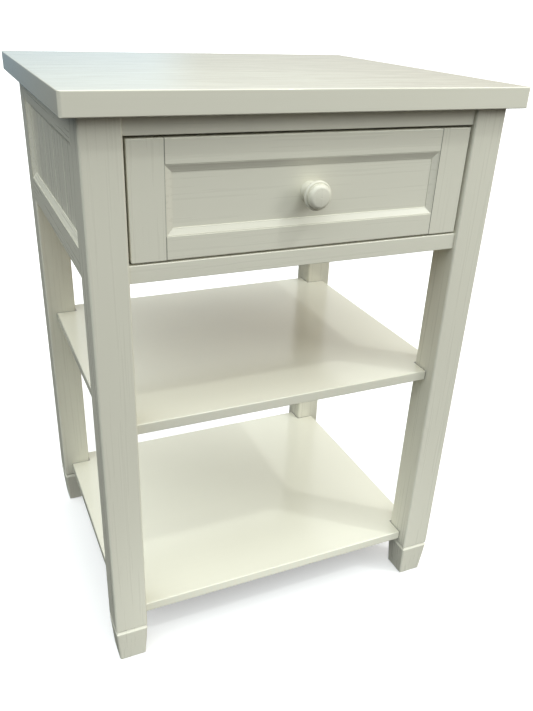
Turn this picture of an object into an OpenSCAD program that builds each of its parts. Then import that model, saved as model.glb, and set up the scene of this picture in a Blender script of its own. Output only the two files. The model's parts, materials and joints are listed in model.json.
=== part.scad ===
// Painted side table with one drawer and two open shelves.
// Millimetres, +Z up, +X to the right, the drawer faces -Y.
// Origin: on the floor under the centre of the whole table, its knob included.

/* [Table top] */
// Width of the top, side to side
top_w = 500; // [460:5:600]
// Depth of the top, front to back
top_d = 425; // [400:5:520]
// Thickness of the top
top_t = 22; // [18:1:28]
// Height of the top surface above the floor
table_h = 692; // [640:1:760]
// Overhang of the top beyond the legs at each side
side_overhang = 16; // [8:1:30]
// Overhang of the top beyond the front legs
front_overhang = 14; // [6:1:18]
// Overhang of the top beyond the back legs
back_overhang = 15; // [6:1:30]

/* [Legs and feet] */
// Side of the square legs
leg_s = 40; // [38:1:50]
// Height of the joint between foot and leg
foot_h = 50.5; // [40:0.5:55]
// Side of the tapered foot where it meets the floor
foot_floor_s = 33.5; // [28:0.5:36]
// Height of each flank of the V joint between foot and leg
joint_h = 3.3; // [1:0.1:4]
// Depth of the V joint
joint_d = 2; // [0.5:0.1:3]
// Radius of the legs' rounded arrises
arris_r = 2.5; // [1:0.5:3]

/* [Rails and panels] */
// Height of the underside of the drawer case
case_z = 511.5; // [500:0.5:520]
// Height of the rail above the drawer
front_top_rail_h = 18.5; // [16:0.5:22]
// Height of the rail below the drawer
front_bottom_rail_h = 18.5; // [16:0.5:22]
// Height of the side and back top rails
side_top_rail_h = 29; // [26:0.5:34]
// Height of the side and back bottom rails
side_bottom_rail_h = 29.5; // [26:0.5:34]
// Thickness of the rails
rail_t = 20; // [18:1:22]
// Set-back of the front and back rails from the leg faces
rail_set = 3.5; // [2:0.5:5]
// Thickness of the side and back panels
panel_t = 8; // [6:1:9]
// Set-back of the side and back panels from the rail faces
side_panel_set = 5; // [4:0.5:6]
// Width of the boards in the side panels
board_w = 63; // [50:1:75]

/* [Shelves] */
// Thickness of the shelves
shelf_t = 13; // [12:1:18]
// Height of the middle shelf's top
middle_shelf_z = 342.5; // [300:0.5:380]
// Height of the lower shelf's top
lower_shelf_z = 73; // [72:0.5:90]
// Set-back of the shelf's side edges from the leg faces
shelf_side_set = 12.5; // [8:0.5:18]
// Set-back of the shelf's front edge from the front leg faces
shelf_front_set = 14.5; // [8:0.5:18]
// Set-back of the shelf's back edge from the back leg faces
shelf_back_set = 16; // [8:0.5:18]

/* [Drawer] */
// Gap at each side of the drawer front
side_gap = 2.5; // [1.5:0.5:3]
// Gap above the drawer front
top_gap = 2.5; // [1.5:0.5:3]
// Gap below the drawer front
bottom_gap = 2; // [1.5:0.5:3]
// Width of the drawer front's stiles
stile_w = 36; // [32:1:42]
// Height of the drawer front's rails
drawer_rail_h = 24; // [20:1:28]
// Thickness of the drawer front's frame
drawer_front_t = 20; // [18:1:22]
// Set-back of the drawer front's panel from its frame
drawer_panel_set = 4; // [3:0.5:5]
// Thickness of the drawer's sides
drawer_side_t = 12; // [10:1:14]

/* [Knob] */
// Diameter of the knob
knob_d = 31; // [28:1:36]
// Projection of the knob from the drawer's panel
knob_l = 26.5; // [25.5:0.5:30]

/* [Hidden] */
$fn = 96;

// Colours
paint = [0.86, 0.86, 0.79];
pine = [0.87, 0.74, 0.54];
ply = [0.82, 0.70, 0.52];
beech = [0.80, 0.62, 0.45];
zinc = [0.72, 0.73, 0.75];

// Case planes
knob_overhang = max(0, knob_l - front_overhang - rail_set - drawer_panel_set);
top_front_y = (knob_overhang - top_d) / 2;
top_back_y = top_front_y + top_d;
top_under_z = table_h - top_t;
leg_x = top_w / 2 - side_overhang;
leg_in_x = leg_x - leg_s;
leg_front_y = top_front_y + front_overhang;
leg_back_y = top_back_y - back_overhang;
inner_front_y = leg_front_y + leg_s;
inner_back_y = leg_back_y - leg_s;
leg_centre_x = leg_x - leg_s / 2;

// Rails: each has a tenon on both ends, clear of the panel groove
tenon_l = 14;
tenon_t = 10;
tenon_set = (rail_t - tenon_t) / 2;
tenon_shoulder = 2;
groove_d = 6;
groove_clear = 1.5;
front_rail_y = leg_front_y + rail_set;
back_rail_y = leg_back_y - rail_set - rail_t;
open_low_z = case_z + side_bottom_rail_h;
open_high_z = top_under_z - side_top_rail_h;
tenon_lower_z = open_low_z - groove_d - groove_clear;
tenon_upper_z = open_high_z + groove_d + groove_clear;

// Boarded side panels
board_groove_w = 2.4;
board_groove_d = 1.2;
first_board_w = 80;
board_joints = floor((inner_back_y - inner_front_y - first_board_w) / board_w);

// Moulding round the side panels and the drawer panel
moulding_w = 7.5;
moulding_lip = 1;
moulding_reveal = 0.5;
moulding_quirk = 0.3;
moulding_flat = 0.3;
moulding_foot_h = 0.8;
moulding_foot_r = 0.6;
mitre_gap = 0.1;

// Drawer front
front_x = leg_in_x - side_gap;
front_low_z = case_z + front_bottom_rail_h + bottom_gap;
front_high_z = top_under_z - front_top_rail_h - top_gap;
stile_in_x = front_x - stile_w;
frame_low_z = front_low_z + drawer_rail_h;
frame_high_z = front_high_z - drawer_rail_h;
drawer_panel_t = 7;
drawer_panel_y = front_rail_y + drawer_panel_set;
drawer_tenon_l = 12;
drawer_tenon_t = 8;

// Drawer box
box_clear = 0.7;
guide_w = 6;
box_x = leg_in_x - guide_w - 2 * box_clear;
box_in_x = box_x - drawer_side_t;
box_front_y = front_rail_y + drawer_front_t;
stop_d = 11;
stop_clear = 0.5;
box_back_y = back_rail_y - stop_d - stop_clear;
box_low_z = front_low_z + 2;
box_high_z = front_high_z - 9;
box_end_t = 10;
box_back_set = 10;
housing_d = 5;
bottom_t = 6;
bottom_z = box_low_z + 6;
back_high_z = box_high_z - 8;

// Runners, guides and kickers
runner_top_z = box_low_z - 0.5;
runner_h = 20;
runner_in_x = box_in_x - 3;
guide_in_x = box_x + box_clear;
guide_h = 16;
kicker_low_z = box_high_z + 2;
case_in_x = leg_x - rail_t;

// Dowels and screws
shelf_notch_gap = 0.5;
shelf_dowel_r = 3;
shelf_dowel_l = 28;
foot_dowel_r = 5;
foot_dowel_l = 44;
knob_screw_r = 2;
knob_screw_l = 40;
knob_drop = 0.8;
knob_z = (front_low_z + front_high_z) / 2 - knob_drop;

// Solid block between two opposite corners
module block(low, high) {
  translate(low) cube(high - low);
}

// Draws a right-hand piece as it is, or mirrored to the left (side = -1)
module sided(side) {
  mirror([side < 0 ? 1 : 0, 0, 0]) children();
}

// Square post with the same outline seen from the front and from the side
module square_post(outline) {
  intersection() {
    rotate([90, 0, 0]) linear_extrude(leg_s, center = true) polygon(outline);
    rotate([90, 0, 90]) linear_extrude(leg_s, center = true) polygon(outline);
  }
}

// Takes the sharp corner off the +X +Y arris of a leg
module arris_cut(low, high) {
  centre = leg_s / 2 - arris_r;
  translate([centre, centre, low]) linear_extrude(high - low) difference() {
    square(2 * arris_r);
    circle(arris_r);
  }
}

// Moves a shape to the centre line of one leg
module at_leg(side, end) {
  leg_y = end < 0 ? leg_front_y + leg_s / 2 : leg_back_y - leg_s / 2;
  translate([side * leg_centre_x, leg_y, 0]) children();
}

// Countersunk screw, head at the origin, pointing along +Z
module countersunk_screw(length, radius) {
  head_r = 2 * radius;
  tip_l = 2 * radius;
  profile = [
    [0, 0],
    [head_r, 0],
    [radius, radius],
    [radius, length - tip_l],
    [0, length]
  ];
  rotate_extrude() polygon(profile);
}

// Tenon bars of a rail that runs along X: they reach past both shoulders
module x_tenons(y, low, high) {
  reach = leg_in_x + tenon_l;
  block([-reach, y + tenon_set, low], [reach, y + tenon_set + tenon_t, high]);
}

// Rail between two legs along X
module x_rail(y, z, height, tenon_low, tenon_high) {
  block([-leg_in_x, y, z], [leg_in_x, y + rail_t, z + height]);
  x_tenons(y, tenon_low, tenon_high);
}

// Tenon bars of a side rail on the right
module y_tenons(low, high) {
  x = case_in_x + tenon_set;
  block([x, inner_front_y - tenon_l, low], [x + tenon_t, inner_back_y + tenon_l, high]);
}

// Side rail on the right, flush with the legs
module y_rail(z, height, tenon_low, tenon_high) {
  block([case_in_x, inner_front_y, z], [leg_x, inner_back_y, z + height]);
  y_tenons(tenon_low, tenon_high);
}

// Plain panel on the right, let into the grooves of its rails and legs
module side_panel_blank() {
  face_x = leg_x - side_panel_set;
  block(
    [face_x - panel_t, inner_front_y - groove_d, open_low_z - groove_d],
    [face_x, inner_back_y + groove_d, open_high_z + groove_d]
  );
}

// Plain panel at the back, let into its grooves
module back_panel_blank() {
  face_y = leg_back_y - rail_set - side_panel_set;
  reach = leg_in_x + groove_d;
  block(
    [-reach, face_y - panel_t, open_low_z - groove_d],
    [reach, face_y, open_high_z + groove_d]
  );
}

// Everything that is let into the four legs
module leg_joinery() {
  x_tenons(front_rail_y, case_z + tenon_shoulder, case_z + front_bottom_rail_h - tenon_shoulder);
  x_tenons(
    front_rail_y,
    top_under_z - front_top_rail_h + tenon_shoulder,
    top_under_z - tenon_shoulder
  );
  x_tenons(back_rail_y, case_z + tenon_shoulder, tenon_lower_z);
  x_tenons(back_rail_y, tenon_upper_z, top_under_z - tenon_shoulder);
  back_panel_blank();
  for (side = [-1, 1]) sided(side) {
    y_tenons(case_z + tenon_shoulder, tenon_lower_z);
    y_tenons(tenon_upper_z, top_under_z - tenon_shoulder);
    side_panel_blank();
  }
  shelf_pins();
  foot_pins();
}

// One leg before it is mortised: the inward arrises stay square inside the case
module leg_blank(side, end) {
  half = leg_s / 2;
  outline = [
    [-half + joint_d, foot_h],
    [half - joint_d, foot_h],
    [half, foot_h + joint_h],
    [half, top_under_z],
    [-half, top_under_z],
    [-half, foot_h + joint_h]
  ];
  at_leg(side, end) difference() {
    square_post(outline);
    for (x = [-1, 1], y = [-1, 1]) {
      high = y == end ? top_under_z : case_z;
      mirror([x < 0 ? 1 : 0, 0, 0]) mirror([0, y < 0 ? 1 : 0, 0]) arris_cut(foot_h, high);
    }
  }
}

// One leg, with its mortises, panel grooves and dowel holes
module leg(side, end) {
  difference() {
    leg_blank(side, end);
    leg_joinery();
  }
}

// One tapered foot, with the lower flank of the V joint
module foot(side, end) {
  half = leg_s / 2;
  floor_half = foot_floor_s / 2;
  outline = [
    [-floor_half, 0],
    [floor_half, 0],
    [half, foot_h - joint_h],
    [half - joint_d, foot_h],
    [-half + joint_d, foot_h],
    [-half, foot_h - joint_h]
  ];
  difference() {
    at_leg(side, end) square_post(outline);
    foot_pins();
  }
}

// Upright dowels that join the feet to the legs
module foot_pins() {
  for (side = [-1, 1], end = [-1, 1]) {
    at_leg(side, end) translate([0, 0, foot_h - foot_dowel_l / 2])
      cylinder(r = foot_dowel_r, h = foot_dowel_l);
  }
}

// Level dowels that join both shelves to the four legs
module shelf_pins() {
  front_pin_y = (leg_front_y + shelf_front_set + inner_front_y) / 2;
  back_pin_y = (leg_back_y - shelf_back_set + inner_back_y) / 2;
  for (side = [-1, 1], y = [front_pin_y, back_pin_y], z = [middle_shelf_z, lower_shelf_z]) {
    translate([side * leg_in_x, y, z - shelf_t / 2])
      rotate([0, 90, 0]) cylinder(r = shelf_dowel_r, h = shelf_dowel_l, center = true);
  }
}

// Shelf with square notches that clear the four legs; dowels carry it
module shelf(top_z) {
  reach_x = leg_x - shelf_side_set;
  notch_x = leg_in_x - shelf_notch_gap;
  under_z = top_z - shelf_t;
  difference() {
    block(
      [-reach_x, leg_front_y + shelf_front_set, under_z],
      [reach_x, leg_back_y - shelf_back_set, top_z]
    );
    for (side = [-1, 1]) sided(side) {
      block([notch_x, leg_front_y, under_z - 1], [leg_x, inner_front_y + shelf_notch_gap, top_z + 1]);
      block([notch_x, inner_back_y - shelf_notch_gap, under_z - 1], [leg_x, leg_back_y, top_z + 1]);
    }
    shelf_pins();
  }
}

// Side panel on the right, scored with V joints between its boards
module boarded_panel() {
  half = board_groove_w / 2;
  face_x = leg_x - side_panel_set;
  score = [[0, -half], [board_groove_d, 0], [0, half]];
  difference() {
    side_panel_blank();
    for (i = [0 : board_joints]) {
      y = inner_front_y + first_board_w + i * board_w;
      translate([face_x, y, open_low_z - 2 * groove_d])
        linear_extrude(open_high_z - open_low_z + 4 * groove_d) mirror([1, 0]) polygon(score);
    }
  }
}

// Cross-section of a moulding: lip, quirk, slope and rounded foot; X goes inwards, Y rises from the panel
function moulding_profile(depth) =
  let (
    height = depth - moulding_reveal,
    foot_x = moulding_w - moulding_foot_r,
    foot_y = moulding_foot_h - moulding_foot_r
  )
  concat(
    [[0, 0], [0, height], [moulding_lip, height], [moulding_lip, height - moulding_quirk]],
    [[foot_x - moulding_flat, moulding_foot_h]],
    [for (a = [90 : -30 : 0]) [foot_x + moulding_foot_r * cos(a), foot_y + moulding_foot_r * sin(a)]],
    [[moulding_w, 0]]
  );

// One moulding strip along +X with mitred ends, on the plane Z = 0
module mitred_strip(length, depth) {
  w = moulding_w;
  plan = [[mitre_gap, 0], [length - mitre_gap, 0], [length - w - mitre_gap, w], [w + mitre_gap, w]];
  intersection() {
    rotate([90, 0, 90]) linear_extrude(length) polygon(moulding_profile(depth));
    linear_extrude(depth) polygon(plan);
  }
}

// Four mitred strips round the inside of a rectangle, on the plane Z = 0
module moulding_frame(width, height, depth) {
  mitred_strip(width, depth);
  translate([width, height, 0]) rotate(180) mitred_strip(width, depth);
  translate([width, 0, 0]) rotate(90) mitred_strip(height, depth);
  translate([0, height, 0]) rotate(270) mitred_strip(height, depth);
}

// Moulding round the right-hand panel
module side_moulding() {
  translate([leg_x - side_panel_set, inner_front_y, open_low_z]) rotate([90, 0, 90])
    moulding_frame(inner_back_y - inner_front_y, open_high_z - open_low_z, side_panel_set);
}

// Strip along the right-hand inside of the case, notched round both legs
module case_strip(in_x, low, high) {
  block([in_x, box_front_y, low], [leg_in_x, back_rail_y, high]);
  block([leg_in_x, inner_front_y, low], [case_in_x, inner_back_y, high]);
}

// Screws from the runners into the side rails, heads sunk in deep holes
module runner_fixings(hole) {
  head_x = leg_in_x;
  head_r = 4.5;
  for (side = [-1, 1], y = [-90, 90]) {
    sided(side) translate([head_x, y, runner_top_z - runner_h / 2]) rotate([0, 90, 0]) {
      countersunk_screw(34, 2);
      if (hole) mirror([0, 0, 1]) cylinder(r = head_r, h = leg_in_x);
    }
  }
}

// Screws up through the kickers into the table top
module top_fixings() {
  for (side = [-1, 1], y = [-120, 120]) {
    translate([side * (leg_in_x - 8), y, kicker_low_z])
      countersunk_screw(top_under_z - kicker_low_z + 13, 2.2);
  }
}

// Frame member of the drawer front that runs along X, with its tenons
module drawer_front_rail(z, tenon_low, tenon_high) {
  y = front_rail_y;
  tenon_y = y + (drawer_front_t - drawer_tenon_t) / 2;
  reach = stile_in_x + drawer_tenon_l;
  block([-stile_in_x, y, z], [stile_in_x, y + drawer_front_t, z + drawer_rail_h]);
  block([-reach, tenon_y, tenon_low], [reach, tenon_y + drawer_tenon_t, tenon_high]);
}

// Lower rail of the drawer front before its panel groove is cut
module drawer_bottom_rail_blank() {
  drawer_front_rail(front_low_z, front_low_z + tenon_shoulder, frame_low_z - groove_d - groove_clear);
}

// Upper rail of the drawer front before its panel groove is cut
module drawer_top_rail_blank() {
  drawer_front_rail(
    frame_high_z,
    frame_high_z + groove_d + groove_clear,
    front_high_z - tenon_shoulder
  );
}

// Panel of the drawer front, let into its frame
module drawer_panel_blank() {
  reach = stile_in_x + groove_d;
  block(
    [-reach, drawer_panel_y, frame_low_z - groove_d],
    [reach, drawer_panel_y + drawer_panel_t, frame_high_z + groove_d]
  );
}

// Right-hand stile of the drawer front
module drawer_stile() {
  difference() {
    block(
      [stile_in_x, front_rail_y, front_low_z],
      [front_x, front_rail_y + drawer_front_t, front_high_z]
    );
    drawer_bottom_rail_blank();
    drawer_top_rail_blank();
    drawer_panel_blank();
    drawer_front_fixings();
  }
}

// Ends of the drawer box, housed in its sides
module box_ends() {
  reach = box_in_x + housing_d;
  block([-reach, box_front_y, box_low_z], [reach, box_front_y + box_end_t, box_high_z]);
  back_y = box_back_y - box_back_set;
  block([-reach, back_y - box_end_t, bottom_z + bottom_t], [reach, back_y, back_high_z]);
}

// Bottom board of the drawer, in grooves at the front and sides
module bottom_board() {
  reach = box_in_x + housing_d;
  block(
    [-reach, box_front_y + box_end_t - housing_d, bottom_z],
    [reach, box_back_y - box_back_set, bottom_z + bottom_t]
  );
}

// Right-hand side of the drawer box
module drawer_side() {
  difference() {
    block([box_in_x, box_front_y, box_low_z], [box_x, box_back_y, box_high_z]);
    box_ends();
    bottom_board();
  }
}

// Screws from inside the drawer into its front frame
module drawer_front_fixings() {
  inset_z = 28;
  for (side = [-1, 1], z = [front_low_z + inset_z, front_high_z - inset_z]) {
    translate([side * (box_in_x - 9), box_front_y + box_end_t, z])
      rotate([90, 0, 0]) countersunk_screw(22, 1.75);
  }
}

// Screws up through the bottom board into the drawer's back
module drawer_bottom_fixings() {
  screw_y = box_back_y - box_back_set - box_end_t / 2;
  for (x = [-100, 0, 100]) {
    translate([x, screw_y, bottom_z]) countersunk_screw(22, 1.5);
  }
}

// Pan-head machine screw that holds the knob, through the inner front and the panel
module knob_fixing() {
  head_y = box_front_y + box_end_t;
  head_r = 4;
  head_h = 2.6;
  translate([0, head_y, knob_z]) rotate([90, 0, 0]) {
    cylinder(r = knob_screw_r, h = knob_screw_l);
    mirror([0, 0, 1]) cylinder(r = head_r, h = head_h);
  }
}

// Half outline of the turned knob: X is the radius, Y the distance from its seat.
// A waisted neck carries a rounded rim, then a groove, a short wall, a round shoulder and a low crown.
function knob_profile() =
  let (
    foot_r = 0.36 * knob_d,
    neck_r = 0.25 * knob_d,
    neck_y = 8,
    cap_y = 15.4,
    rim_r = 2.1,
    rim_y = cap_y + rim_r,
    rim_x = knob_d / 2 - rim_r,
    groove_x = rim_x - 0.9,
    groove_y = rim_y + rim_r - 0.3,
    face_x = rim_x - 0.5,
    wall_y = groove_y + 0.6,
    wall_h = 1.2,
    crown_r = 0.62 * face_x,
    crown_h = 0.6,
    shoulder_h = knob_l - crown_h - wall_y - wall_h,
    dimple_r = 0.9,
    dimple_d = 0.5
  )
  concat(
    [[0, 0], [foot_r, 0]],
    [for (t = [1 : -0.125 : 0]) [
      neck_r + (foot_r - 0.5 - neck_r) * t * t,
      neck_y - (neck_y - 1.2) * t
    ]],
    [for (t = [0.125 : 0.125 : 1]) [
      neck_r + (rim_x - neck_r) * t * t,
      neck_y + (cap_y - neck_y) * t
    ]],
    [for (a = [-75 : 15 : 75]) [rim_x + rim_r * cos(a), rim_y + rim_r * sin(a)]],
    [[groove_x, groove_y], [face_x, wall_y]],
    [for (a = [0 : 10 : 80]) [
      crown_r + (face_x - crown_r) * cos(a),
      wall_y + wall_h + shoulder_h * sin(a)
    ]],
    [for (t = [1 : -0.25 : 0.25]) [
      crown_r * t,
      knob_l - crown_h * t * t
    ]],
    [[dimple_r, knob_l], [0, knob_l - dimple_d]]
  );

// ---- Case ----

module table_top() {
  color(paint) difference() {
    block([-top_w / 2, top_front_y, top_under_z], [top_w / 2, top_back_y, table_h]);
    top_fixings();
  }
}

module front_left_leg() {
  color(paint) leg(-1, -1);
}

module front_right_leg() {
  color(paint) leg(1, -1);
}

module rear_left_leg() {
  color(paint) leg(-1, 1);
}

module rear_right_leg() {
  color(paint) leg(1, 1);
}

module front_left_foot() {
  color(paint) foot(-1, -1);
}

module front_right_foot() {
  color(paint) foot(1, -1);
}

module rear_left_foot() {
  color(paint) foot(-1, 1);
}

module rear_right_foot() {
  color(paint) foot(1, 1);
}

module foot_dowels() {
  color(beech) foot_pins();
}

module front_top_rail() {
  z = top_under_z - front_top_rail_h;
  color(paint)
    x_rail(front_rail_y, z, front_top_rail_h, z + tenon_shoulder, top_under_z - tenon_shoulder);
}

module front_bottom_rail() {
  high = case_z + front_bottom_rail_h;
  color(paint)
    x_rail(front_rail_y, case_z, front_bottom_rail_h, case_z + tenon_shoulder, high - tenon_shoulder);
}

module rear_top_rail() {
  color(paint) difference() {
    x_rail(back_rail_y, open_high_z, side_top_rail_h, tenon_upper_z, top_under_z - tenon_shoulder);
    back_panel_blank();
  }
}

module rear_bottom_rail() {
  color(paint) difference() {
    x_rail(back_rail_y, case_z, side_bottom_rail_h, case_z + tenon_shoulder, tenon_lower_z);
    back_panel_blank();
  }
}

module side_top_rail(side) {
  color(paint) sided(side) difference() {
    y_rail(open_high_z, side_top_rail_h, tenon_upper_z, top_under_z - tenon_shoulder);
    side_panel_blank();
  }
}

module left_top_rail() {
  side_top_rail(-1);
}

module right_top_rail() {
  side_top_rail(1);
}

module side_bottom_rail(side) {
  color(paint) difference() {
    sided(side) difference() {
      y_rail(case_z, side_bottom_rail_h, case_z + tenon_shoulder, tenon_lower_z);
      side_panel_blank();
    }
    runner_fixings(false);
  }
}

module left_bottom_rail() {
  side_bottom_rail(-1);
}

module right_bottom_rail() {
  side_bottom_rail(1);
}

module left_side_panel() {
  color(paint) sided(-1) boarded_panel();
}

module right_side_panel() {
  color(paint) sided(1) boarded_panel();
}

module back_panel() {
  color(paint) back_panel_blank();
}

module left_moulding() {
  color(paint) sided(-1) side_moulding();
}

module right_moulding() {
  color(paint) sided(1) side_moulding();
}

module middle_shelf() {
  color(paint) shelf(middle_shelf_z);
}

module lower_shelf() {
  color(paint) shelf(lower_shelf_z);
}

module shelf_dowels() {
  color(beech) shelf_pins();
}

// ---- Drawer runners and fixings ----

module runner(side) {
  color(pine) difference() {
    sided(side) case_strip(runner_in_x, runner_top_z - runner_h, runner_top_z);
    runner_fixings(true);
  }
}

module left_runner() {
  runner(-1);
}

module right_runner() {
  runner(1);
}

module guide(side) {
  color(pine) sided(side) case_strip(guide_in_x, runner_top_z, runner_top_z + guide_h);
}

module left_guide() {
  guide(-1);
}

module right_guide() {
  guide(1);
}

module kicker(side) {
  color(pine) difference() {
    sided(side) case_strip(runner_in_x, kicker_low_z, top_under_z);
    top_fixings();
  }
}

module left_kicker() {
  kicker(-1);
}

module right_kicker() {
  kicker(1);
}

module drawer_stops() {
  stop_h = 20;
  color(pine) for (side = [-1, 1]) sided(side)
    block(
      [runner_in_x, back_rail_y - stop_d, runner_top_z],
      [guide_in_x, back_rail_y, runner_top_z + stop_h]
    );
}

module runner_screws() {
  color(zinc) runner_fixings(false);
}

module top_screws() {
  color(zinc) top_fixings();
}

// ---- Drawer ----

module drawer_left_stile() {
  color(paint) sided(-1) drawer_stile();
}

module drawer_right_stile() {
  color(paint) sided(1) drawer_stile();
}

module drawer_top_rail() {
  color(paint) difference() {
    drawer_top_rail_blank();
    drawer_panel_blank();
  }
}

module drawer_bottom_rail() {
  color(paint) difference() {
    drawer_bottom_rail_blank();
    drawer_panel_blank();
  }
}

module drawer_panel() {
  color(paint) difference() {
    drawer_panel_blank();
    knob_fixing();
  }
}

module drawer_moulding() {
  color(paint) translate([-stile_in_x, drawer_panel_y, frame_low_z]) rotate([90, 0, 0])
    moulding_frame(2 * stile_in_x, frame_high_z - frame_low_z, drawer_panel_set);
}

module drawer_inner_front() {
  reach = box_in_x + housing_d;
  color(pine) difference() {
    block([-reach, box_front_y, box_low_z], [reach, box_front_y + box_end_t, box_high_z]);
    bottom_board();
    knob_fixing();
    drawer_front_fixings();
  }
}

module drawer_left_side() {
  color(pine) sided(-1) drawer_side();
}

module drawer_right_side() {
  color(pine) sided(1) drawer_side();
}

module drawer_back() {
  reach = box_in_x + housing_d;
  back_y = box_back_y - box_back_set;
  color(pine) difference() {
    block([-reach, back_y - box_end_t, bottom_z + bottom_t], [reach, back_y, back_high_z]);
    drawer_bottom_fixings();
  }
}

module drawer_bottom() {
  color(ply) difference() {
    bottom_board();
    drawer_bottom_fixings();
  }
}

module drawer_knob() {
  color(paint) difference() {
    translate([0, drawer_panel_y, knob_z]) rotate([90, 0, 0]) rotate_extrude() polygon(knob_profile());
    knob_fixing();
  }
}

module knob_screw() {
  color(zinc) knob_fixing();
}

module drawer_front_screws() {
  color(zinc) drawer_front_fixings();
}

module drawer_bottom_screws() {
  color(zinc) drawer_bottom_fixings();
}

table_top();
front_left_leg();
front_right_leg();
rear_left_leg();
rear_right_leg();
front_left_foot();
front_right_foot();
rear_left_foot();
rear_right_foot();
foot_dowels();
front_top_rail();
front_bottom_rail();
rear_top_rail();
rear_bottom_rail();
left_top_rail();
right_top_rail();
left_bottom_rail();
right_bottom_rail();
left_side_panel();
right_side_panel();
back_panel();
left_moulding();
right_moulding();
middle_shelf();
lower_shelf();
shelf_dowels();
left_runner();
right_runner();
left_guide();
right_guide();
left_kicker();
right_kicker();
drawer_stops();
runner_screws();
top_screws();
drawer_left_stile();
drawer_right_stile();
drawer_top_rail();
drawer_bottom_rail();
drawer_panel();
drawer_moulding();
drawer_inner_front();
drawer_left_side();
drawer_right_side();
drawer_back();
drawer_bottom();
drawer_knob();
knob_screw();
drawer_front_screws();
drawer_bottom_screws();
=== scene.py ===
"""Looks for a painted side table with one drawer and two shelves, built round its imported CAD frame."""

import json
import math

import bmesh
import bpy
from mathutils import Matrix, Vector


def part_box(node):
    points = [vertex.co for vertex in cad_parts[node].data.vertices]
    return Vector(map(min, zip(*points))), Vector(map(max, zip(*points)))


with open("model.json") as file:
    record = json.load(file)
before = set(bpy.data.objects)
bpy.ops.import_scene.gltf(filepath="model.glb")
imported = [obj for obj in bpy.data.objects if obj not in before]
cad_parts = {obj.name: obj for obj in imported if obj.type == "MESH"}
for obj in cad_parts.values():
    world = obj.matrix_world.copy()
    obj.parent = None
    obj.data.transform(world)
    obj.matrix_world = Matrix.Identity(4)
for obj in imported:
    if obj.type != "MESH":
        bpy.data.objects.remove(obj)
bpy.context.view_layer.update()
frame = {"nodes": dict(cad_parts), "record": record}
nodes = frame["nodes"]

MM = 0.001


# ---------------------------------------------------------------- camera, light and floor

# Place in metres, turns in degrees, lens in mm.
CAMERA_PLACE = (-0.3462, -0.8384, 0.7642)
CAMERA_HEADING = 25.05
CAMERA_PITCH = -27.57
CAMERA_ROLL = 2.57
CAMERA_LENS = 35.85
CAMERA_SHIFT = (0.0027, 0.0193)


def add_camera():
    """Camera at the table's front left corner, looking down at it. Heading turns from +Y to +X."""
    data = bpy.data.cameras.new("camera")
    data.lens = CAMERA_LENS
    data.shift_x, data.shift_y = CAMERA_SHIFT
    data.clip_start = 0.01
    camera = bpy.data.objects.new("camera", data)
    bpy.context.scene.collection.objects.link(camera)
    turn = Matrix.Rotation(math.radians(-CAMERA_HEADING), 4, "Z")
    tilt = Matrix.Rotation(math.radians(90 + CAMERA_PITCH), 4, "X")
    roll = Matrix.Rotation(math.radians(CAMERA_ROLL), 4, "Z")
    camera.matrix_world = Matrix.Translation(CAMERA_PLACE) @ turn @ tilt @ roll
    bpy.context.scene.camera = camera


def node_maker(tree):
    """Returns a function that adds a node to tree.

    Its inputs map socket names or numbers to values or to other nodes' outputs.
    """
    def node(kind, inputs=(), **settings):
        made = tree.nodes.new(kind)
        for key, value in settings.items():
            setattr(made, key, value)
        for key, value in dict(inputs).items():
            if isinstance(value, bpy.types.NodeSocket):
                tree.links.new(value, made.inputs[key])
            else:
                made.inputs[key].default_value = value
        return made

    return node


def fill_ramp(ramp, stops):
    """Gives a colour ramp node its (position, colour) stops."""
    elements = ramp.color_ramp.elements
    while len(elements) < len(stops):
        elements.new(0.5)
    for element, (position, colour) in zip(elements, stops):
        element.position = position
        element.color = (*colour, 1)


NEUTRAL = (0.95, 1.0, 1.0)
WARM = (1.2, 1.0, 0.8)

# Soft lights, as broad lobes of the surroundings: bearing in degrees from +Y towards
# +X, elevation, sharpness, strength and tint. They are overhead, front, left, right and behind.
GLOWS = [
    (0, 90, 2, 1.1, NEUTRAL),
    (180, 50, 4, 1.3, NEUTRAL),
    (-90, 50, 4, 1.4, NEUTRAL),
    (90, 20, 2, 0.5, WARM),
    (20, 30, 12, 1.2, NEUTRAL),
]

# A pale window low behind the table, which the top reflects. Its bearing, half width and soft
# edge are in degrees, and it fades away from the horizon faster as its lowness grows.
WINDOW_BEARING = 5
WINDOW_HALF = 10
WINDOW_FADE = 5
WINDOW_LOWNESS = 8
WINDOW_COLOUR = (0.2, 0.4, 0.6)

# A small sun, whose spread in degrees softens the edges of its shadows.
KEY_BEARING = 130
KEY_ELEVATION = 55
KEY_STRENGTH = 0.15
KEY_SPREAD = 2.5

# Soft lamps: place, aim, watts, size and spread in degrees. The first brightens the fronts
# towards the right, and the second stands in for light that a pale floor throws on the feet.
LAMPS = [
    ((0.85, -0.95, 1.1), (0.1, -0.2, 0.45), 1.2, 0.4, 120),
    ((-0.15, -0.95, 0.06), (0.0, -0.2, 0.0), 0.2, 0.2, 50),
]


def scaled(colour, factor):
    return tuple(channel * factor for channel in colour)


def towards(bearing, elevation):
    """Direction from a bearing and an elevation in degrees."""
    level = math.cos(math.radians(elevation))
    turn = math.radians(bearing)
    return Vector((level * math.sin(turn), level * math.cos(turn), math.sin(math.radians(elevation))))


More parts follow.
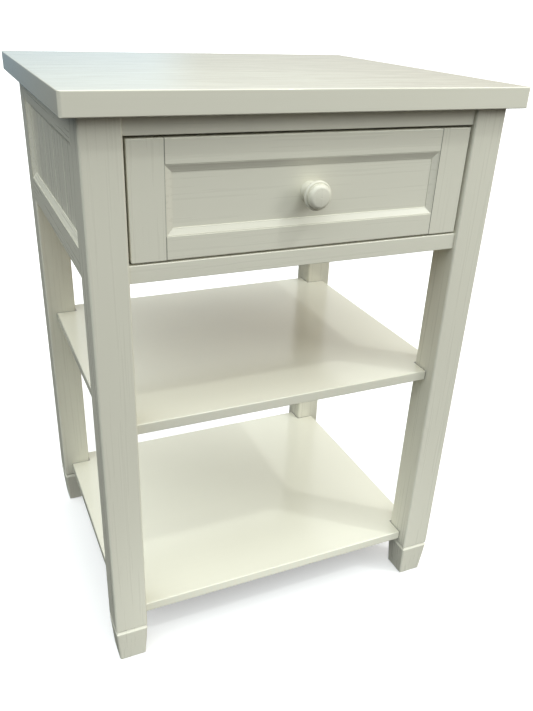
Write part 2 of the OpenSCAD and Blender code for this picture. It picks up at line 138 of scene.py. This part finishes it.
def add_world():
    """Soft surroundings: broad lobes of light and one low window."""
    world = bpy.data.worlds.new("studio")
    bpy.context.scene.world = world
    world.use_nodes = True
    tree = world.node_tree
    tree.nodes.clear()
    node = node_maker(tree)
    direction = node("ShaderNodeTexCoord").outputs["Generated"]

    def combine(operation, first, second=0.0):
        return node("ShaderNodeMath", {0: first, 1: second}, operation=operation).outputs[0]

    def tinted(colour, amount):
        return node("ShaderNodeVectorMath", {0: colour, "Scale": amount}, operation="SCALE").outputs[0]

    parts = node("ShaderNodeSeparateXYZ", {0: direction}).outputs
    aside = combine("SUBTRACT", combine("ARCTAN2", parts["X"], parts["Y"]), math.radians(WINDOW_BEARING))
    inner = math.radians(WINDOW_HALF)
    outer = math.radians(WINDOW_HALF + WINDOW_FADE)
    share = {"Value": combine("ABSOLUTE", aside), 1: inner, 2: outer, 3: 1.0, 4: 0.0}
    pane = node("ShaderNodeMapRange", share, interpolation_type="SMOOTHSTEP").outputs[0]
    lowness = combine("SUBTRACT", 1.0, combine("ABSOLUTE", parts["Z"]))
    total = tinted(WINDOW_COLOUR, combine("MULTIPLY", pane, combine("POWER", lowness, WINDOW_LOWNESS)))
    for bearing, elevation, sharpness, strength, tint in GLOWS:
        facing = {0: direction, 1: towards(bearing, elevation)}
        cosine = node("ShaderNodeVectorMath", facing, operation="DOT_PRODUCT").outputs["Value"]
        amount = combine("POWER", combine("MAXIMUM", cosine), sharpness)
        glow = tinted(scaled(tint, strength), amount)
        total = node("ShaderNodeVectorMath", {0: total, 1: glow}, operation="ADD").outputs[0]
    background = node("ShaderNodeBackground", {"Color": total})
    node("ShaderNodeOutputWorld", {"Surface": background.outputs[0]})


def add_key():
    """Soft directional light from the front right."""
    data = bpy.data.lights.new("key", "SUN")
    data.energy = KEY_STRENGTH * math.pi
    data.color = NEUTRAL
    data.angle = math.radians(KEY_SPREAD)
    light = bpy.data.objects.new("key", data)
    bpy.context.scene.collection.objects.link(light)
    light.rotation_euler = towards(KEY_BEARING, KEY_ELEVATION).to_track_quat("Z", "Y").to_euler()


def add_lamp(place, aim, watts, size, spread):
    """Soft square area lamp that looks from place to aim."""
    data = bpy.data.lights.new("lamp", "AREA")
    data.energy = watts
    data.size = size
    data.spread = math.radians(spread)
    data.color = NEUTRAL
    light = bpy.data.objects.new("lamp", data)
    bpy.context.scene.collection.objects.link(light)
    light.location = place
    light.rotation_euler = (Vector(place) - Vector(aim)).to_track_quat("Z", "Y").to_euler()


FLOOR_FLAT = 5.0
FLOOR_EDGE = 40.0
FLOOR_RISE = 4.5
FLOOR_RINGS = 12
FLOOR_CORNERS = 96
FLOOR_TONE = 0.8
FLOOR_GLOW = 0.3
FLOOR_ROUGHNESS = 0.9


def add_floor():
    """Plain pale floor: flat round the table and dished up far away.

    The surroundings show over its far rim in low views. The table neither sees it nor is lit
    by it, and it glows a little, so that the table's shadow on it stays faint.
    """
    mesh = bmesh.new()
    rings = []
    for step in range(FLOOR_RINGS + 1):
        radius = FLOOR_FLAT + (FLOOR_EDGE - FLOOR_FLAT) * step / FLOOR_RINGS
        height = FLOOR_RISE * (step / FLOOR_RINGS) ** 2
        ring = []
        for turn in range(FLOOR_CORNERS):
            angle = 2 * math.pi * turn / FLOOR_CORNERS
            ring.append(mesh.verts.new((radius * math.cos(angle), radius * math.sin(angle), height)))
        rings.append(ring)
    mesh.faces.new(rings[0])
    for inner, outer in zip(rings, rings[1:]):
        for i in range(FLOOR_CORNERS):
            j = (i + 1) % FLOOR_CORNERS
            mesh.faces.new((inner[i], outer[i], outer[j], inner[j]))
    data = bpy.data.meshes.new("floor")
    mesh.to_mesh(data)
    mesh.free()
    for polygon in data.polygons:
        polygon.use_smooth = True
    floor = bpy.data.objects.new("floor", data)
    bpy.context.scene.collection.objects.link(floor)
    material = bpy.data.materials.new("pale_floor")
    material.use_nodes = True
    shader = material.node_tree.nodes["Principled BSDF"]
    shader.inputs["Base Color"].default_value = (FLOOR_TONE, FLOOR_TONE, FLOOR_TONE, 1)
    shader.inputs["Roughness"].default_value = FLOOR_ROUGHNESS
    shader.inputs["Specular IOR Level"].default_value = 0.0
    shader.inputs["Emission Color"].default_value = (1, 1, 1, 1)
    shader.inputs["Emission Strength"].default_value = FLOOR_GLOW
    data.materials.append(material)
    floor.visible_diffuse = False
    floor.visible_glossy = False
    floor.visible_shadow = False


add_camera()
add_world()
add_key()
for lamp in LAMPS:
    add_lamp(*lamp)
add_floor()

scene = bpy.context.scene
scene.view_settings.view_transform = "Standard"
scene.view_settings.look = "None"


# ---------------------------------------------------------------- materials

class Shader:
    """Small helper that adds nodes to one material and links them."""

    def __init__(self, name):
        self.material = bpy.data.materials.new(name)
        self.material.use_nodes = True
        self.node = node_maker(self.material.node_tree)
        self.links = self.material.node_tree.links
        self.surface = self.material.node_tree.nodes["Principled BSDF"]
        self.coords = self.node("ShaderNodeTexCoord").outputs["Object"]

    def set(self, **values):
        """Sets or links the surface shader's sockets, named with _ for spaces."""
        for key, value in values.items():
            socket = self.surface.inputs[key.replace("_", " ")]
            if isinstance(value, bpy.types.NodeSocket):
                self.links.new(value, socket)
            else:
                socket.default_value = value

    def stretched(self, grain, along, across):
        """Coordinates with along cycles per metre on the grain axis and across on the others."""
        scale = [across] * 3
        scale["xyz".index(grain)] = along
        return self.node("ShaderNodeMapping", {"Vector": self.coords, "Scale": scale}).outputs[0]

    def noise(self, vector, scale=1.0, detail=3.0, roughness=0.5):
        inputs = {"Vector": vector, "Scale": scale, "Detail": detail, "Roughness": roughness}
        return self.node("ShaderNodeTexNoise", inputs).outputs["Fac"]

    def ramp(self, value, *stops):
        """Colour ramp through (position, colour) stops."""
        made = self.node("ShaderNodeValToRGB", {"Fac": value})
        fill_ramp(made, stops)
        return made.outputs["Color"]

    def product(self, first, second):
        """Multiplies two colours."""
        made = self.node("ShaderNodeMix", data_type="RGBA", blend_type="MULTIPLY")
        for key, value in {"Factor": 1.0, "A": first, "B": second}.items():
            socket = next(s for s in made.inputs if s.name == key and s.enabled)
            if isinstance(value, bpy.types.NodeSocket):
                self.links.new(value, socket)
            else:
                socket.default_value = value
        return next(s for s in made.outputs if s.enabled)

    def remap(self, value, low, high, to_low, to_high):
        inputs = {"Value": value, 1: low, 2: high, 3: to_low, 4: to_high}
        return self.node("ShaderNodeMapRange", inputs).outputs[0]

    def math(self, operation, first, second=0.0):
        return self.node("ShaderNodeMath", {0: first, 1: second}, operation=operation).outputs[0]

    def place(self, axis):
        """Place along one axis, in metres."""
        parts = self.node("ShaderNodeSeparateXYZ", {0: self.coords}).outputs
        return parts["xyz".index(axis)]

    def bump(self, height, depth, under=None):
        """Relief of the given depth in metres."""
        inputs = {"Height": height, "Strength": 1.0, "Distance": depth}
        if under is not None:
            inputs["Normal"] = under
        return self.node("ShaderNodeBump", inputs).outputs[0]


CREAM = (0.79, 0.775, 0.66)

# Painted shade in fine cracks between pieces: half width, soft edge and darkness. Those at the notches
# lie further from the leg.
CRACK_HALF = 0.35 * MM
CRACK_FADE = 0.3 * MM
PAINTED_CRACK_DARKNESS = 0.4
NOTCH_REACH = 0.9 * MM


def painted_crack_shade(shader, distance):
    """Painted shade of a fine crack between two pieces: dark at no distance from it, and 1 away from it.
    """
    return shader.remap(distance, CRACK_HALF, CRACK_HALF + CRACK_FADE, PAINTED_CRACK_DARKNESS, 1.0)


def painted_seam_shade(shader):
    """Painted shade in the cracks between the stiles and rails of the drawer's front."""
    shade = 1.0
    for seam_x in (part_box("drawer_left_stile")[1].x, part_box("drawer_right_stile")[0].x):
        distance = shader.math("ABSOLUTE", shader.math("SUBTRACT", shader.place("x"), seam_x))
        shade = shader.math("MULTIPLY", painted_crack_shade(shader, distance), shade)
    return shade


def painted_notch_shade(shader):
    """Painted shade in the cracks where a shelf's notches meet the legs, which stand evenly about the
    table's middle.
    """
    front_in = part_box("front_right_leg")
    rear_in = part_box("rear_right_leg")[0].y
    middle_y = (front_in[1].y + rear_in) / 2
    from_leg_x = shader.math("SUBTRACT", front_in[0].x, shader.math("ABSOLUTE", shader.place("x")))
    off_middle = shader.math("ABSOLUTE", shader.math("SUBTRACT", shader.place("y"), middle_y))
    from_leg_y = shader.math("SUBTRACT", rear_in - middle_y, off_middle)
    distance = shader.math("MAXIMUM", from_leg_x, from_leg_y)
    return painted_crack_shade(shader, shader.math("SUBTRACT", distance, NOTCH_REACH))


# Marks drawn out along the grain: cycles per metre along it and across it.
STROKES = (5, 520)
PORES = (26, 1700)
FIGURE = (6, 330)
STREAK_LINES = (17, 310)

# Brush lines on the top, with painted reflection streaks lighter and darker than the paint,
# grow from STREAK_FROM to STREAK_FULL along x, on its upper STREAK_DEEP only.
STREAK_FROM = -0.14
STREAK_FULL = 0.04
STREAK_LEAST = 0.75
STREAK_DEEP = 0.3 * MM


def brush_and_painted_reflection(shader):
    """Short wavy brush lines with painted reflection streaks on the top, stronger towards its right-hand
    end.
    """
    lines = shader.noise(shader.stretched("x", *STREAK_LINES), 1, 3, 0.62)
    light = shader.remap(lines, 0.4, 0.6, 0.91, 1.06)
    share = shader.remap(shader.place("x"), STREAK_FROM, STREAK_FULL, STREAK_LEAST, 1.0)
    upper = shader.math("GREATER_THAN", shader.place("z"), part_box("table_top")[1].z - STREAK_DEEP)
    share = shader.math("MULTIPLY", share, upper)
    return shader.math("ADD", 1.0, shader.math("MULTIPLY", shader.math("SUBTRACT", light, 1.0), share))


CLOUDS = 7
PEEL = 210
PEEL_DEPTH = 0.006 * MM
GLOSS_SPREAD = 0.02


def cream_paint(name, grain, gloss=0.28, brush=0.0008, wood=0.0008, shade_of=None):
    """Satin cream paint over wood.

    brush is the depth in mm of the brush marks along the grain, and wood that of the finer wood
    grain that telegraphs through. shade_of adds a further shade to the colour.
    """
    shader = Shader(name)
    clouds = shader.noise(shader.coords, CLOUDS, 2)
    strokes = shader.noise(shader.stretched(grain, *STROKES), 1, 2, 0.5)
    pores = shader.noise(shader.stretched(grain, *PORES), 1, 2, 0.55)
    figure = shader.noise(shader.stretched(grain, *FIGURE), 1, 3, 0.5)
    colour = shader.ramp(clouds, (0.1, scaled(CREAM, 0.985)), (0.9, scaled(CREAM, 1.015)))
    shade = shader.ramp(figure, (0.25, (0.996, 0.9955, 0.994)), (0.75, (1.003, 1.003, 1.003)))
    tone = shader.product(colour, shade)
    # shade_of carries painted shade at cracks, or brush lines with painted reflection streaks.
    if shade_of is not None:
        tone = shader.product(tone, shade_of(shader))
    peel = shader.noise(shader.coords, PEEL, 2, 0.5)
    normal = shader.bump(peel, PEEL_DEPTH)
    normal = shader.bump(strokes, brush * MM, normal)
    normal = shader.bump(pores, wood * MM, normal)
    rough = shader.remap(figure, 0.2, 0.8, gloss - GLOSS_SPREAD, gloss + GLOSS_SPREAD)
    shader.set(Base_Color=tone, Roughness=rough, Normal=normal)
    return shader.material


def bare_wood(name, grain, light, dark, rings=55):
    """Unfinished wood: drawn-out growth rings with fine pores along the grain."""
    shader = Shader(name)
    vector = shader.stretched(grain, 1.2, rings)
    figure = shader.noise(vector, 1, 4, 0.55)
    colour = shader.ramp(figure, (0.32, light), (0.52, scaled(light, 0.93)), (0.6, dark), (0.7, light))
    pores = shader.noise(shader.stretched(grain, 40, 1800), 1, 2, 0.5)
    normal = shader.bump(pores, 0.05 * MM)
    shader.set(Base_Color=colour, Roughness=0.62, Normal=normal)
    return shader.material


def zinc_plate():
    """Bright zinc-plated steel with a faint mottle."""
    shader = Shader("zinc_plate")
    mottle = shader.noise(shader.coords, 900, 2)
    colour = shader.ramp(mottle, (0.3, (0.60, 0.61, 0.63)), (0.7, (0.72, 0.73, 0.75)))
    shader.set(Base_Color=colour, Metallic=1.0, Roughness=0.32)
    return shader.material


paints = {axis: cream_paint(f"cream_paint_{axis}", axis) for axis in "xyz"}
# The drawer front frame's paint carries painted shade in the cracks at its seams.
front_paints = {
    axis: cream_paint(f"cream_paint_front_{axis}", axis, shade_of=painted_seam_shade) for axis in "xz"
}
# The top's paint carries brush lines with painted reflection streaks.
top_paint = cream_paint("cream_paint_top", "x", 0.12, 0.03, 0.012, brush_and_painted_reflection)
# The shelves' paint carries painted shade in the cracks where they meet the legs.
shelf_paint = cream_paint("cream_paint_shelf", "x", 0.17, 0.004, 0.003, painted_notch_shade)
PINE_LIGHT = (0.78, 0.60, 0.38)
PINE_DARK = (0.62, 0.42, 0.22)
pine = {axis: bare_wood(f"pine_{axis}", axis, PINE_LIGHT, PINE_DARK) for axis in "xyz"}
plywood = bare_wood("plywood", "x", (0.74, 0.60, 0.41), (0.63, 0.48, 0.31), 25)
beech = bare_wood("beech", "x", (0.70, 0.50, 0.33), (0.58, 0.38, 0.23), 90)
zinc = zinc_plate()


def grain_axis(name):
    """The axis along which a piece's grain runs: its longest side."""
    low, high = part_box(name)
    sides = high - low
    return "xyz"[max(range(3), key=lambda i: sides[i])]


DRAWER_FRAME = [f"drawer_{part}" for part in ("left_stile", "right_stile", "top_rail", "bottom_rail")]
SLOT_OF = {row["node"]: row["material_slot"] for row in frame["record"]["subparts"]}


def finish_of(name):
    """Material of a CAD node, from its slot in the record and its grain."""
    slot = SLOT_OF[name]
    if slot == "bare_pine":
        return pine[grain_axis(name)]
    if slot == "bare_plywood":
        return plywood
    if slot == "beech_dowel":
        return beech
    if slot == "zinc_screw":
        return zinc
    if name == "table_top":
        return top_paint
    if name.endswith("_shelf"):
        return shelf_paint
    if name in DRAWER_FRAME:
        return front_paints[grain_axis(name)]
    if name.endswith("_side_panel") or name.endswith("_foot"):
        return paints["z"]
    return paints[grain_axis(name)]


for name, obj in nodes.items():
    obj.data.materials.clear()
    obj.data.materials.append(finish_of(name))


# ---------------------------------------------------------------- softened arrises

WEIGHT_LAYER = "bevel_weight_edge"
SHARP = 0.5
TOUCH = 0.05 * MM


def weight_tree(name, rules, rest):
    """Geometry nodes that give each sharp edge a bevel weight.

    A rule (weight, span, ...) holds for an edge whose middle lies in every span, and a span is
    (axis, low, high). An edge takes its greatest weight, or rest where no rule holds.
    """
    tree = bpy.data.node_groups.new(name, "GeometryNodeTree")
    tree.interface.new_socket("Geometry", in_out="INPUT", socket_type="NodeSocketGeometry")
    tree.interface.new_socket("Geometry", in_out="OUTPUT", socket_type="NodeSocketGeometry")
    node = node_maker(tree)
    start = node("NodeGroupInput")
    place = node("GeometryNodeInputPosition").outputs[0]
    parts = node("ShaderNodeSeparateXYZ", {0: place}).outputs

    def combine(operation, first, second):
        return node("ShaderNodeMath", {0: first, 1: second}, operation=operation).outputs[0]

    weight = rest
    for strength, *spans in rules:
        inside = strength
        for axis, low, high in spans:
            along = parts["xyz".index(axis)]
            inside = combine("MULTIPLY", combine("GREATER_THAN", along, low), inside)
            inside = combine("MULTIPLY", combine("LESS_THAN", along, high), inside)
        weight = combine("MAXIMUM", inside, weight)
    angle = node("GeometryNodeInputMeshEdgeAngle").outputs[0]
    weight = combine("MULTIPLY", combine("GREATER_THAN", angle, SHARP), weight)
    values = {"Geometry": start.outputs[0], "Name": WEIGHT_LAYER, "Value": weight}
    store = node("GeometryNodeStoreNamedAttribute", values, data_type="FLOAT", domain="EDGE")
    node("NodeGroupOutput", {0: store.outputs[0]})
    return tree


def soften(name, width, rules=(), rest=1.0, segments=3):
    """Rounds a CAD node's arrises, by width times each edge's weight."""
    obj = nodes[name]
    weld = obj.modifiers.new("weld", "WELD")
    weld.merge_threshold = 0.002 * MM
    flat = obj.modifiers.new("flat", "DECIMATE")
    flat.decimate_type = "DISSOLVE"
    flat.angle_limit = math.radians(0.5)
    weights = obj.modifiers.new("weights", "NODES")
    weights.node_group = weight_tree(f"weights_{name}", rules, rest)
    bevel = obj.modifiers.new("arrises", "BEVEL")
    bevel.limit_method = "WEIGHT"
    bevel.width = width
    bevel.segments = segments
    bevel.use_clamp_overlap = True
    bevel.harden_normals = False
    normals = obj.modifiers.new("normals", "WEIGHTED_NORMAL")
    normals.keep_sharp = False
    for polygon in obj.data.polygons:
        polygon.use_smooth = True


def at(axis, place):
    """Span that holds one plane."""
    return (axis, place - TOUCH, place + TOUCH)


def end_rules(name, axis):
    """Rules that give full weight to the edges on the low and high sides of a node's box."""
    low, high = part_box(name)
    i = "xyz".index(axis)
    return [(1.0, at(axis, low[i])), (1.0, at(axis, high[i]))]


def outline_rules(name, first, second, weight):
    """Rules for the edges that lie on a side of a node's box along both of two axes."""
    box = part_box(name)
    i, j = "xyz".index(first), "xyz".index(second)
    return [(weight, at(first, one[i]), at(second, two[j])) for one in box for two in box]


TOP_ROUND = 3.6 * MM
TOP_RIM = 0.34
SHELF_ROUND = 1.3 * MM
FRONT_RAIL_ROUND = 0.9 * MM
SIDE_RAIL_ROUND = 0.8 * MM
LEG_ROUND = 0.4 * MM
FOOT_ROUND = 2.4 * MM
DRAWER_FRONT_ROUND = 3.6 * MM
DRAWER_BOX_ROUND = 0.8 * MM
RUNNER_ROUND = 0.6 * MM

top_rules = outline_rules("table_top", "x", "y", 1.0)
for axis in "xy":
    top_rules += outline_rules("table_top", axis, "z", TOP_RIM)
soften("table_top", TOP_ROUND, top_rules, 0.0, 4)
for name in ("middle_shelf", "lower_shelf"):
    rules = outline_rules(name, "x", "z", 1.0) + outline_rules(name, "y", "z", 1.0)
    soften(name, SHELF_ROUND, rules, 0.0)
for name in ("front_top_rail", "front_bottom_rail", "rear_top_rail", "rear_bottom_rail"):
    soften(name, FRONT_RAIL_ROUND, end_rules(name, "z"), 0.3)
for side in ("left", "right"):
    for name in (f"{side}_top_rail", f"{side}_bottom_rail"):
        soften(name, SIDE_RAIL_ROUND, end_rules(name, "z"), 0.3)
for end in ("front", "rear"):
    for side in ("left", "right"):
        soften(f"{end}_{side}_leg", LEG_ROUND)
        foot_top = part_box(f"{end}_{side}_foot")[1].z
        upright = (1.0, ("z", 0.2 * foot_top, 0.8 * foot_top))
        sole = (0.6, ("z", -TOUCH, TOUCH))
        soften(f"{end}_{side}_foot", FOOT_ROUND, [upright, sole], 0.17)

front_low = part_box("drawer_left_stile")[0]
front_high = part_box("drawer_right_stile")[1]
front_rules = [(0.4, at("z", front_low.z)), (0.4, at("z", front_high.z))]
for edge_x in (front_low.x, front_high.x):
    front_rules += [(0.4, at("x", edge_x)), (1.0, at("x", edge_x), at("z", front_low.z))]
for name in DRAWER_FRAME:
    soften(name, DRAWER_FRONT_ROUND, front_rules, 0.1, 4)
for part in ("left_side", "right_side", "back", "inner_front", "bottom"):
    soften(f"drawer_{part}", DRAWER_BOX_ROUND)
for side in ("left", "right"):
    for part in ("runner", "guide", "kicker"):
        soften(f"{side}_{part}", RUNNER_ROUND)
